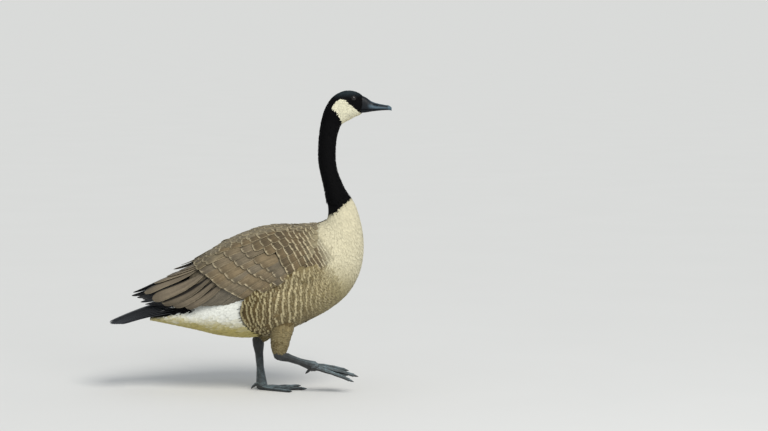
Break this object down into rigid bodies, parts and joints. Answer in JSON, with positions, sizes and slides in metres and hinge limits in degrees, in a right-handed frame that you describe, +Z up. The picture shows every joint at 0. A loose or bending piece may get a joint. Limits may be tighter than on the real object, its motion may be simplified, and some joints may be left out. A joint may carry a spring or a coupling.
{
  "type": "canada goose",
  "caption": "Life-size still model of a walking Canada goose, one flat foot on the ground and the other carried forward.",
  "frame": {"origin": "middle of the bird's bounding box, at the level of the ground under its standing foot", "axes": "+X towards the bill, +Y to the bird's left, +Z up"},
  "size_m": [0.6244, 0.2104, 0.6649],
  "materials": {
    "black_plumage": "short dense black feathers with a faint sheen",
    "breast_plumage": "soft body feathers, cream breast and barred brown flank",
    "wing_plumage": "brown vanes with pale edges",
    "tail_plumage": "black vanes, satin",
    "thigh_plumage": "soft brown feathers",
    "bill": "black horn, satin",
    "eye": "wet dark brown, glossy",
    "leg_skin": "scaly blackish skin"
  },
  "bodies": {
    "root": {"torso": "breast_plumage", "neck_lower": "black_plumage", "neck_upper": "black_plumage", "head": "black_plumage", "bill_upper": "bill", "bill_lower": "bill", "eye_right": "eye", "eye_left": "eye", "wing_right": "wing_plumage", "wing_left": "wing_plumage", "tail": "tail_plumage", "thigh_left": "thigh_plumage", "thigh_right": "thigh_plumage", "shank_left": "leg_skin", "shank_right": "leg_skin", "foot_left": "leg_skin", "foot_right": "leg_skin"}
  },
  "joints": []
}
